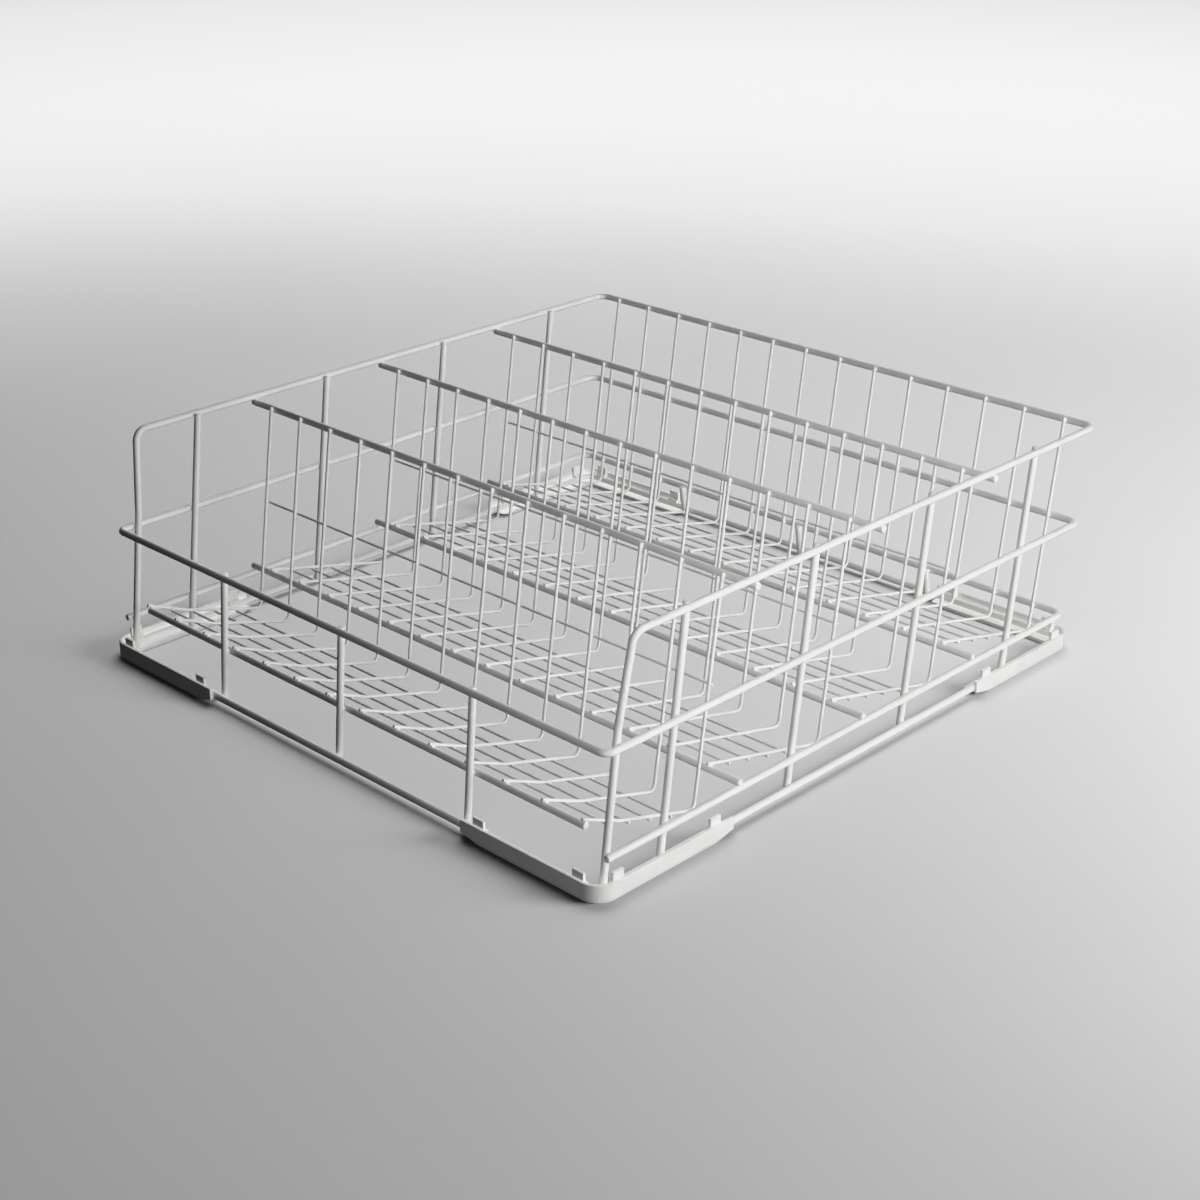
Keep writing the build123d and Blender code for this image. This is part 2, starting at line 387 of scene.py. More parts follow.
def add_node(tree: bpy.types.NodeTree, kind: str, settings: dict, links: dict) -> bpy.types.Node:
    """Add a shader node.

    Args:
        tree: Node tree of the material.
        kind: Type of the node.
        settings: Values of its inputs or properties, by name.
        links: Output sockets that feed its inputs, by the input's name or number.

    Returns:
        The new node.
    """
    return set_node(tree, tree.nodes.new(kind), settings, links)


def add_noise(tree: bpy.types.NodeTree, place: Socket, feature: float, detail: float) -> Socket:
    """Add a noise pattern.

    Args:
        tree: Node tree of the material.
        place: Object coordinates, which are in metres.
        feature: Size of the pattern's features in millimetres.
        detail: How many finer layers the noise has.

    Returns:
        The level of the noise.
    """
    settings = {"Scale": 1 / (feature * MM), "Detail": detail}
    return add_node(tree, "ShaderNodeTexNoise", settings, {"Vector": place}).outputs["Fac"]


def add_blend(tree: bpy.types.NodeTree, level: Socket, span: Span, colours: tuple[str, str]) -> Socket:
    """Blend two colours by a level.

    Args:
        tree: Node tree of the material.
        level: The level, such as that of a noise.
        span: Levels at the two ends of the blend.
        colours: Screen colours at those ends.

    Returns:
        The blended colour.
    """
    ramp = add_node(tree, "ShaderNodeValToRGB", {}, {"Fac": level})
    for element, position, code in zip(ramp.color_ramp.elements, span, colours):
        element.position = position
        element.color = linear(code)
    return ramp.outputs["Color"]


def add_bump(tree: bpy.types.NodeTree, level: Socket, height: float, strength: float) -> Socket:
    """Raise the surface by a level.

    Args:
        tree: Node tree of the material.
        level: The level, such as that of a noise.
        height: Height of the relief in millimetres.
        strength: How much of the relief shows, from 0 to 1.

    Returns:
        The normal of the raised surface.
    """
    settings = {"Strength": strength, "Distance": height * MM}
    return add_node(tree, "ShaderNodeBump", settings, {"Height": level}).outputs["Normal"]


def new_material(name: str) -> tuple[bpy.types.Material, bpy.types.Node, Socket]:
    """Start a material with a plain shader.

    Args:
        name: Name of the material.

    Returns:
        The material, its shader and the Object coordinates that its patterns take.
    """
    material = bpy.data.materials.new(name)
    material.use_nodes = True
    shader = material.node_tree.nodes["Principled BSDF"]
    place = add_node(material.node_tree, "ShaderNodeTexCoord", {}, {}).outputs["Object"]
    return material, shader, place


@dataclass(frozen=True)
class NylonCoat:
    """Nylon powder that was melted on to hot steel wire in a dip tank.

    The melt levels itself, so the eye sees a soft gloss with a faint orange peel and a little greying.
    Sizes and heights of patterns are in millimetres, and a span holds the noise levels of a change.
    """

    name: str = "dip_coated_nylon"
    clean: str = "EAEAE9"
    aged: str = "E1E1DF"
    index: float = 1.53
    shine: float = 0.35
    smooth: float = 0.52
    dull: float = 0.64
    drift: float = 45.0
    drift_detail: float = 3.0
    drift_span: Span = (0.35, 0.62)
    handled: float = 11.25
    handled_detail: float = 2.0
    handled_span: Span = (0.3, 0.7)
    peel: float = 2.6
    peel_detail: float = 1.0
    peel_height: float = 0.05
    peel_strength: float = 0.5

    def material(self) -> bpy.types.Material:
        """Make the material.

        Returns:
            The finished material.
        """
        material, shader, place = new_material(self.name)
        tree = material.node_tree
        drift = add_noise(tree, place, self.drift, self.drift_detail)
        colour = add_blend(tree, drift, self.drift_span, (self.aged, self.clean))
        handled = add_noise(tree, place, self.handled, self.handled_detail)
        low, high = self.handled_span
        gloss = add_node(tree, "ShaderNodeMapRange",
                         {"From Min": low, "From Max": high, "To Min": self.smooth, "To Max": self.dull},
                         {"Value": handled})
        peel = add_noise(tree, place, self.peel, self.peel_detail)
        bump = add_bump(tree, peel, self.peel_height, self.peel_strength)
        set_node(tree, shader, {"IOR": self.index, "Specular IOR Level": self.shine},
                 {"Base Color": colour, "Roughness": gloss.outputs["Result"], "Normal": bump})
        return material


@dataclass(frozen=True)
class MouldedGlide:
    """Polypropylene injected into a spark-eroded steel mould.

    The mould's skin gives a fine matt grain, and sliding on racks greys and scratches the lowest edge.
    The real grain of about 0.3 mm is too fine for this view, so it is drawn at 1 mm.
    """

    name: str = "moulded_polypropylene"
    clean: str = "E8E8E7"
    aged: str = "DFDFDD"
    worn: str = "C6C6C4"
    index: float = 1.49
    dull: float = 0.46
    drift: float = 30.0
    drift_detail: float = 3.0
    drift_span: Span = (0.35, 0.62)
    scuff: float = 6.0
    scuff_detail: float = 6.0
    scuff_top: float = 3.0
    grain: float = 1.0
    grain_detail: float = 2.0
    grain_height: float = 0.03
    grain_strength: float = 0.5

    def material(self) -> bpy.types.Material:
        """Make the material.

        Returns:
            The finished material.
        """
        material, shader, place = new_material(self.name)
        tree = material.node_tree
        drift = add_noise(tree, place, self.drift, self.drift_detail)
        plain = add_blend(tree, drift, self.drift_span, (self.aged, self.clean))
        height = add_node(tree, "ShaderNodeSeparateXYZ", {}, {"Vector": place}).outputs["Z"]
        low = add_node(tree, "ShaderNodeMapRange",
                       {"From Max": self.scuff_top * MM, "To Min": 1.0, "To Max": 0.0}, {"Value": height})
        marks = add_noise(tree, place, self.scuff, self.scuff_detail)
        rubbed = add_node(tree, "ShaderNodeMath", {"operation": "MULTIPLY"},
                          {0: low.outputs["Result"], 1: marks})
        worn = add_node(tree, "ShaderNodeMixRGB", {"Color2": linear(self.worn)},
                        {"Fac": rubbed.outputs["Value"], "Color1": plain})
        grain = add_noise(tree, place, self.grain, self.grain_detail)
        bump = add_bump(tree, grain, self.grain_height, self.grain_strength)
        set_node(tree, shader, {"IOR": self.index, "Roughness": self.dull},
                 {"Base Color": worn.outputs["Color"], "Normal": bump})
        return material


@dataclass(frozen=True)
class StudioPaper:
    """Background paper with a matt face and painted light that makes it paler with distance.

    The eye sees a faint cloudiness near the basket. An emission, painted light with no lamp behind it, makes
    the paper pale farther away.
    The cloud's size is in millimetres, and the painted light starts and is full at distances in metres.
    """

    name: str = "matt_background_paper"
    light: str = "B4B4B4"
    deep: str = "B2B2B2"
    dull: float = 0.9
    shine: float = 0.1
    cloud: float = 400.0
    cloud_detail: float = 2.0
    cloud_span: Span = (0.3, 0.7)
    # Painted light: the paper emits light that grows with distance from the basket, standing in for lamp
    # light on the far paper.
    painted_glow_colour: str = "FFFFFF"
    painted_glow: float = 0.64
    painted_glow_starts: float = 0.7
    painted_glow_full: float = 2.4

    def material(self) -> bpy.types.Material:
        """Make the material.

        Returns:
            The finished material.
        """
        material, shader, place = new_material(self.name)
        tree = material.node_tree
        cloud = add_noise(tree, place, self.cloud, self.cloud_detail)
        colour = add_blend(tree, cloud, self.cloud_span, (self.deep, self.light))
        # Painted light: the emission strength rises smoothly with distance from the basket.
        away = add_node(tree, "ShaderNodeVectorMath", {"operation": "LENGTH"}, {0: place})
        painted_glow = add_node(tree, "ShaderNodeMapRange",
                        {"interpolation_type": "SMOOTHSTEP", "From Min": self.painted_glow_starts,
                         "From Max": self.painted_glow_full, "To Max": self.painted_glow},
                        {"Value": away.outputs["Value"]})
        set_node(tree, shader,
                 {"Roughness": self.dull, "Specular IOR Level": self.shine,
                  "Emission Color": linear(self.painted_glow_colour)},
                 {"Base Color": colour, "Emission Strength": painted_glow.outputs["Result"]})
        return material


def rim_of(verts: list[bmesh.types.BMVert]) -> Edges:
    """Find the edges that join some points.

    Args:
        verts: The points.

    Returns:
        Each edge that has both ends among the points, in an order that is the same each run.
    """
    ring = set(verts)
    edges = (edge for vert in verts for edge in vert.link_edges if edge.other_vert(vert) in ring)
    return list(dict.fromkeys(edges))


def draw_on(bm: bmesh.types.BMesh, rim: Edges, move: Vector) -> Edges:
    """Draw a rim out in a straight line.

    Args:
        bm: Mesh that holds the rim.
        rim: Edges of the rim.
        move: Way to draw it.

    Returns:
        Edges of the new rim.
    """
    made = bmesh.ops.extrude_edge_only(bm, edges=rim)["geom"]
    verts = [part for part in made if isinstance(part, bmesh.types.BMVert)]
    bmesh.ops.translate(bm, verts=verts, vec=move)
    return rim_of(verts)


def bend_on(bm: bmesh.types.BMesh, rim: Edges, centre: Vector, axis: Vector, turn: float,
            step: float) -> Edges:
    """Draw a rim out along an arc.

    Args:
        bm: Mesh that holds the rim.
        rim: Edges of the rim.
        centre: Middle of the arc.
        axis: Axis of the turn.
        turn: Angle of the turn in radians.
        step: Largest turn of one ring in degrees.

    Returns:
        Edges of the new rim.
    """
    verts = list(dict.fromkeys(vert for edge in rim for vert in edge.verts))
    steps = max(2, math.ceil(math.degrees(turn) / step))
    last = bmesh.ops.spin(bm, geom=verts + rim, cent=centre, axis=axis, angle=turn, steps=steps)["geom_last"]
    return rim_of([part for part in last if isinstance(part, bmesh.types.BMVert)])


def finish_piece(bm: bmesh.types.BMesh, name: str, material: bpy.types.Material,
                 nodes: list[str]) -> bpy.types.Object:
    """Turn a mesh in millimetres into a piece of the basket.

    Args:
        bm: The mesh, which is used up.
        name: Name of the piece.
        material: Material of the piece.
        nodes: Nodes of the frame that the piece stands for.

    Returns:
        The new object, riding on the basket.
    """
    bmesh.ops.scale(bm, vec=(MM, MM, MM), verts=bm.verts)
    bmesh.ops.recalc_face_normals(bm, faces=bm.faces)
    for face in bm.faces:
        face.smooth = True
    mesh = bpy.data.meshes.new(name)
    bm.to_mesh(mesh)
    bm.free()
    mesh.materials.append(material)
    piece = bpy.data.objects.new(name, mesh)
    bpy.context.scene.collection.objects.link(piece)
    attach(piece, "root")
    if nodes:
        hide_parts(*nodes)
    LOG.info("%s: %d faces", name, len(mesh.polygons))
    return piece


@dataclass
class Wire:
    """One coated wire along a line of corner points, with a round bend at each inner corner."""

    gauge: Gauge
    points: list[Vector]
    bends: list[float] = field(default_factory=list)
    closed: bool = False
    end_round: float = 0.35
    end_steps: int = 3

    def run(self, number: int) -> Run:
        """Give a straight run of the wire.

        Args:
            number: Number of the point that the run starts from.

        Returns:
            The two corner points of the run.
        """
        return self.points[number], self.points[(number + 1) % len(self.points)]

    def shape(self, bm: bmesh.types.BMesh) -> None:
        """Bend the wire from a round ring.

        Args:
            bm: Mesh that takes the wire.
        """
        count = len(self.points)
        corners = range(count) if self.closed else range(1, count - 1)
        here = (self.points[-1] + self.points[0]) / 2 if self.closed else self.points[0]
        ahead = self.points[0] if self.closed else self.points[1]
        facing = (ahead - here).to_track_quat("Z", "Y").to_matrix().to_4x4()
        ring = bmesh.ops.create_circle(bm, segments=self.gauge.sides, radius=self.gauge.radius,
                                       matrix=Matrix.Translation(here) @ facing)["verts"]
        first = rim = rim_of(ring)
        for corner, bend in zip(corners, self.bends):
            point = self.points[corner]
            come = (point - self.points[corner - 1]).normalized()
            leave = (self.points[(corner + 1) % count] - point).normalized()
            turn = come.angle(leave)
            reach = bend * math.tan(turn / 2)
            centre = point + (leave - come).normalized() * (bend / math.cos(turn / 2))
            rim = draw_on(bm, rim, point - come * reach - here)
            rim = bend_on(bm, rim, centre, come.cross(leave).normalized(), turn, self.gauge.step)
            here = point + leave * reach
        if self.closed:
            bmesh.ops.bridge_loops(bm, edges=rim + first)
            return
        rim = draw_on(bm, rim, self.points[-1] - here)
        for end in (first, rim):
            self.round_end(bm, end)

    def round_end(self, bm: bmesh.types.BMesh, rim: Edges) -> None:
        """Close a cut end with the round cap that the coat forms on it.

        Args:
            bm: Mesh that holds the wire.
            rim: Edges of the open end.
        """
        bmesh.ops.edgeloop_fill(bm, edges=rim)
        bmesh.ops.bevel(bm, geom=rim, offset=self.end_round * self.gauge.radius, offset_type="OFFSET",
                        segments=self.end_steps, profile=0.5, affect="EDGES", clamp_overlap=True, material=-1)

    def build(self, node: str, material: bpy.types.Material) -> None:
        """Build the wire as a piece of its own.

        Args:
            node: Node of the frame that it stands for.
            material: Material of the coat.
        """
        bm = bmesh.new()
        self.shape(bm)
        finish_piece(bm, f"{node}_coated", material, [node])


@dataclass(frozen=True)
class CoatBridge:
    """Coat that ran together round a weld, drawn as a waist between two saddles on the wires."""

    first: Run
    first_radius: float
    second: Run
    second_radius: float
    sides: int = 12
    spread: float = 0.75
    margin: float = 0.4
    wrap: float = 44.0
    end_share: float = 0.5
    sink: float = 0.06
    pinch: float = 0.93

    def saddle(self, bm: bmesh.types.BMesh, turn: Matrix, centre: Vector, run: Run, radius: float,
               reach: float, toward: Vector) -> list[bmesh.types.BMVert]:
        """Lay a ring on one of the wires.

        Args:
            bm: Mesh that takes the ring.
            turn: Axes of the weld, so that both rings start at the same side.
            centre: Point of the wire's middle line at the weld.
            run: Straight run of the wire.
            radius: Half the wire's size.
            reach: How far the coat spreads along the wire.
            toward: Direction from the wire to the weld.

        Returns:
            The points of the ring in order.
        """
        along = (run[1] - run[0]).normalized()
        across = toward.cross(along)
        behind, ahead = (max((point - centre).length - radius * self.end_share, 0.0) for point in run)
        ring = bmesh.ops.create_circle(bm, segments=self.sides, radius=1.0, matrix=turn)["verts"]
        for vert in ring:
            angle = math.radians(self.wrap) * vert.co.dot(across)
            lift = (radius - self.sink) * (toward * math.cos(angle) + across * math.sin(angle))
            shift = min(max(reach * vert.co.dot(along), -behind), ahead)
            vert.co = centre + along * shift + lift
        return ring

    def shape(self, bm: bmesh.types.BMesh) -> None:
        """Shape the coat between the two wires.

        Args:
            bm: Mesh that takes the coat.
        """
        near, far = intersect_line_line(*self.first, *self.second)
        toward = (far - near).normalized()
        along = (self.first[1] - self.first[0]).normalized()
        turn = Matrix((along, toward.cross(along), toward)).transposed().to_4x4()
        low = self.saddle(bm, turn, near, self.first, self.first_radius,
                          self.spread * self.second_radius + self.margin, toward)
        high = self.saddle(bm, turn, far, self.second, self.second_radius,
                           self.spread * self.first_radius + self.margin, -toward)
        weld = near + toward * (self.first_radius + (far - near).length - self.second_radius) / 2
        waist = bmesh.ops.create_circle(bm, segments=self.sides, radius=1.0, matrix=turn)["verts"]
        for vert, below, above in zip(waist, low, high):
            flat = [point - weld - toward * (point - weld).dot(toward) for point in (below.co, above.co)]
            height = ((below.co + above.co) / 2 - weld).dot(toward)
            vert.co = weld + vert.co * (self.pinch * min(offset.length for offset in flat)) + toward * height
        rims = [rim_of(ring) for ring in (low, waist, high)]
        bmesh.ops.bridge_loops(bm, edges=rims[0] + rims[1])
        bmesh.ops.bridge_loops(bm, edges=rims[1] + rims[2])
        for rim in (rims[0], rims[2]):
            bmesh.ops.edgeloop_fill(bm, edges=rim)
            for edge in rim:
                edge.smooth = False


def build_bridges(name: str, bridges: list[CoatBridge], material: bpy.types.Material) -> None:
    """Build the coat round a group of welds.

    Args:
        name: Name of the piece.
        bridges: The welds.
        material: Material of the coat.
    """
    bm = bmesh.new()
    for bridge in bridges:
        bridge.shape(bm)
    finish_piece(bm, name, material, [])


@dataclass
class FrameWork:
    """Rings, rails and posts of thick wire that carry the rows."""

    layout: Layout
    base_ring: Wire = field(init=False)
    lower_rail: Wire = field(init=False)
    middle_ring: Wire = field(init=False)
    top_rail: Wire = field(init=False)
    side_posts: dict[str, Wire] = field(init=False, default_factory=dict)
    front_posts: dict[str, Wire] = field(init=False, default_factory=dict)
    back_posts: dict[str, Wire] = field(init=False, default_factory=dict)

    def __post_init__(self) -> None:
        """Lay out all the wires."""
        lay = self.layout
        half, bend = lay.ring_half, lay.rail_bend
        base_bend = lay.glide_corner - lay.ring_inset
        self.base_ring = self.ring(lay.base_z, 0.0, lay.base_back, [base_bend] * 4)
        back, front = lay.back_depth(lay.lower_z), lay.post_depth(base_bend, lay.lower_z) - Gauge.FRAME.size
        self.lower_rail = Wire(Gauge.FRAME, [lay.at(x, depth, lay.lower_z) for x, depth in
                                             ((-half, front), (-half, back), (half, back), (half, front))],
                               [bend, bend])
        middle_z = lay.middle_z
        self.middle_ring = self.ring(middle_z, lay.front_depth(middle_z, 0), lay.back_depth(middle_z),
                                     [lay.middle_front_bend] * 2 + [bend] * 2)
        crank_z = middle_z + lay.crank_rise
        side = [(lay.post_x, lay.post_depth(base_bend, lay.foot_z), lay.foot_z),
                (lay.post_x, lay.post_depth(base_bend, crank_z), crank_z),
                (half, lay.post_depth(base_bend, lay.top_z), lay.top_z),
                (half, lay.back_depth(lay.top_z), lay.top_z)]
        points = [lay.at(-x, depth, z) for x, depth, z in side]
        points += [lay.at(x, depth, z) for x, depth, z in reversed(side)]
        self.top_rail = Wire(Gauge.FRAME, points, [lay.crank_bend, bend, bend, bend, bend, lay.crank_bend])
        self.add_posts()

    def ring(self, z: float, front: float, back: float, bends: list[float]) -> Wire:
        """Lay out a closed ring.

        Args:
            z: Height of the ring.
            front: Depth of its front.
            back: Depth of its back.
            bends: Bends at the two front and the two back corners.

        Returns:
            The ring.
        """
        half = self.layout.ring_half
        corners = ((-half, front), (half, front), (half, back), (-half, back))
        return Wire(Gauge.FRAME, [self.layout.at(x, depth, z) for x, depth in corners], bends, closed=True)

    def add_posts(self) -> None:
        """Lay out the posts of the sides, the front and the back."""
        lay = self.layout
        radius = Gauge.FRAME.radius
        top_z, front_top = lay.top_z + lay.side_post_top, lay.middle_z + lay.front_post_top
        for side in Side:
            x = side.value * lay.post_x
            for number in range(lay.side_posts):
                foot = lay.side_post_first + number * lay.side_post_pitch
                ends = [lay.at(x, lay.post_depth(foot, z), z) for z in (lay.foot_z, top_z)]
                self.side_posts[f"{side.name.lower()}_post_{number + 1}"] = Wire(Gauge.FRAME, ends)
        for number in range(lay.short_posts):
            x = (number - (lay.short_posts - 1) / 2) * lay.short_post_pitch
            ends = [lay.at(x, lay.front_depth(z, 1), z) for z in (lay.foot_z, front_top)]
            self.front_posts[f"front_post_{number + 1}"] = Wire(Gauge.FRAME, ends)
            low = lay.at(x, lay.base_back, lay.base_z)
            rise = lay.at(x, lay.back_depth(lay.lower_z), lay.lower_z) - low
            up = rise.normalized()
            low = low + Vector((0, -up.z, up.y)) * lay.inset
            self.back_posts[f"back_post_{number + 1}"] = Wire(Gauge.FRAME,
                                                              [low - up * radius, low + rise + up * radius])

    def welds(self) -> list[CoatBridge]:
        """List the welds between the frame's own wires.

        Returns:
            The coat round each weld.
        """
        pairs: list[tuple[Run, Run]] = []
        # Runs of the base ring, the lower rail, the middle ring and the top rail along each side.
        sides = {Side.LEFT: (3, 0, 3, 2), Side.RIGHT: (1, 2, 1, 4)}
        for name, post in self.side_posts.items():
            base, lower, middle, top = sides[Side.LEFT if name.startswith("left") else Side.RIGHT]
            runs = (self.base_ring.run(base), self.lower_rail.run(lower), self.middle_ring.run(middle),
                    self.top_rail.run(top))
            pairs += [(run, post.run(0)) for run in runs]
        # The first and the last run of the top rail are the corner posts.
        for corner_run, side in ((0, Side.LEFT), (6, Side.RIGHT)):
            base, lower, middle, _ = sides[side]
            runs = (self.base_ring.run(base), self.lower_rail.run(lower), self.middle_ring.run(middle))
            pairs += [(run, self.top_rail.run(corner_run)) for run in runs]
        for post in self.front_posts.values():
            pairs += [(self.base_ring.run(0), post.run(0)), (self.middle_ring.run(0), post.run(0))]
        for post in self.back_posts.values():
            pairs += [(self.base_ring.run(2), post.run(0)), (self.lower_rail.run(1), post.run(0))]
        radius = Gauge.FRAME.radius
        return [CoatBridge(first, radius, second, radius) for first, second in pairs]

    def build(self, coat: bpy.types.Material) -> None:
        """Build the frame's wires and the coat round their welds.

        Args:
            coat: Material of the coat.
        """
        wires = {"base_ring": self.base_ring, "lower_rail": self.lower_rail, "middle_ring": self.middle_ring,
                 "top_rail": self.top_rail, **self.side_posts, **self.front_posts, **self.back_posts}
        for node, wire in wires.items():
            wire.build(node, coat)
        build_bridges("frame_coat_bridges", self.welds(), coat)


@dataclass
class PlateRow:
    """One slanted row: bent wires on a front bar, cross wires under them, and a divider behind."""

    layout: Layout
    frame_work: FrameWork
    row: int

    @property
    def name(self) -> str:
        """Start of the names of the row's nodes."""
        return f"row_{self.row + 1}"

    @property
    def last(self) -> bool:
        """Whether the row leans on the back of the frame."""
        return self.row == self.layout.rows - 1

    def cross(self, gauge: Gauge, half: float, depth: float, z: float) -> Wire:
        """Lay out a wire from side to side.

        Args:
            gauge: Size of the wire.
            half: Half its length.
            depth: Depth of its middle line.
            z: Height of its middle line.

        Returns:
            The wire.
        """
        return Wire(gauge, [self.layout.at(-half, depth, z), self.layout.at(half, depth, z)])

    def cross_wires(self) -> dict[str, Wire]:
        """Lay out the bars and cross wires.

        Returns:
            The wires by node.
        """
        lay = self.layout
        inner = lay.row_half + Gauge.ROW.radius
        outer = lay.ring_half + Gauge.FRAME.radius
        bar_depth, bar_z = lay.bar_place(self.row)
        bar_half = inner if self.row == 0 else outer
        wires = {f"{self.name}_front_bar": self.cross(Gauge.FRAME, bar_half, bar_depth, bar_z)}
        line = lay.floor_line(self.row)
        for number in range(lay.cross_wires):
            depth = bar_depth + lay.cross_first + number * lay.cross_pitch
            near, far = next((a, b) for a, b in zip(line, line[1:]) if depth <= b[0])
            slope = math.atan2(near[1] - far[1], far[0] - near[0])
            z = far[1] + (far[0] - depth) * math.tan(slope) - lay.cross_grip / math.cos(slope)
            wires[f"{self.name}_floor_wire_{number + 1}"] = self.cross(Gauge.CROSS, inner, depth, z)
        if not self.last:
            depth = lay.behind(self.row, lay.divider_z, lay.bar_grip)
            wires[f"{self.name}_divider_bar"] = self.cross(Gauge.FRAME, outer, depth, lay.divider_z)
            z = lay.base_z + lay.divider_wire_rise
            depth = lay.behind(self.row, z, lay.cross_grip)
            wires[f"{self.name}_divider_wire"] = self.cross(Gauge.CROSS, inner, depth, z)
        return wires

    def bent_wires(self) -> list[Wire]:
        """Lay out the bent wires.

        Returns:
            The wires from left to right.
        """
        lay = self.layout
        top_z = (lay.top_z if self.last else lay.divider_z) + Gauge.FRAME.radius
        line = lay.floor_line(self.row) + [(lay.upright_depth(self.row, top_z), top_z)]
        bends = [lay.kink_bend] * (len(line) - 3) + [lay.row_bend]
        places = [number * lay.row_wire_pitch - lay.row_half for number in range(lay.row_wires)]
        return [Wire(Gauge.ROW, [lay.at(x, depth, z) for depth, z in line], bends) for x in places]

    def welds(self, cross_wires: dict[str, Wire], bent_wires: list[Wire]) -> list[CoatBridge]:
        """List the welds of the row.

        Args:
            cross_wires: Bars and cross wires by node.
            bent_wires: The bent wires.

        Returns:
            The coat round each weld.
        """
        found = []
        holder = self.frame_work
        backs = [holder.lower_rail.run(1), holder.middle_ring.run(2), holder.top_rail.run(3)]
        for bent in bent_wires:
            upright = bent.run(len(bent.points) - 2)
            for node, wire in cross_wires.items():
                run = upright
                if "divider" not in node:
                    start = 0 if wire.points[0].y < bent.points[1].y else 1
                    run = bent.run(start)
                found.append(CoatBridge(wire.run(0), wire.gauge.radius, run, Gauge.ROW.radius))
            if self.last:
                found += [CoatBridge(run, Gauge.FRAME.radius, upright, Gauge.ROW.radius) for run in backs]
        return found + self.frame_welds(cross_wires)

    def frame_welds(self, cross_wires: dict[str, Wire]) -> list[CoatBridge]:
        """List the welds between the row's bars and the frame.

        Args:
            cross_wires: Bars and cross wires by node.

        Returns:
            The coat round each weld.
        """
        radius = Gauge.FRAME.radius
        bar = cross_wires[f"{self.name}_front_bar"].run(0)
        if self.row == 0:
            runs = [post.run(0) for post in self.frame_work.front_posts.values()]
        else:
            runs = [self.frame_work.lower_rail.run(0), self.frame_work.lower_rail.run(2)]
        found = [CoatBridge(run, radius, bar, radius) for run in runs]
        if not self.last:
            bar = cross_wires[f"{self.name}_divider_bar"].run(0)
            runs = [self.frame_work.top_rail.run(2), self.frame_work.top_rail.run(4)]
            found += [CoatBridge(run, radius, bar, radius) for run in runs]
        return found

    def build(self, coat: bpy.types.Material) -> None:
        """Build the row's wires and the coat round their welds.

        Args:
            coat: Material of the coat.
        """
        cross_wires = self.cross_wires()
        for node, wire in cross_wires.items():
            wire.build(node, coat)
        bent_wires = self.bent_wires()
        bm = bmesh.new()
        for wire in bent_wires:
            wire.shape(bm)
        node = f"{self.name}_bent_wires"
        finish_piece(bm, f"{node}_coated", coat, [node])
        build_bridges(f"{self.name}_coat_bridges", self.welds(cross_wires, bent_wires), coat)


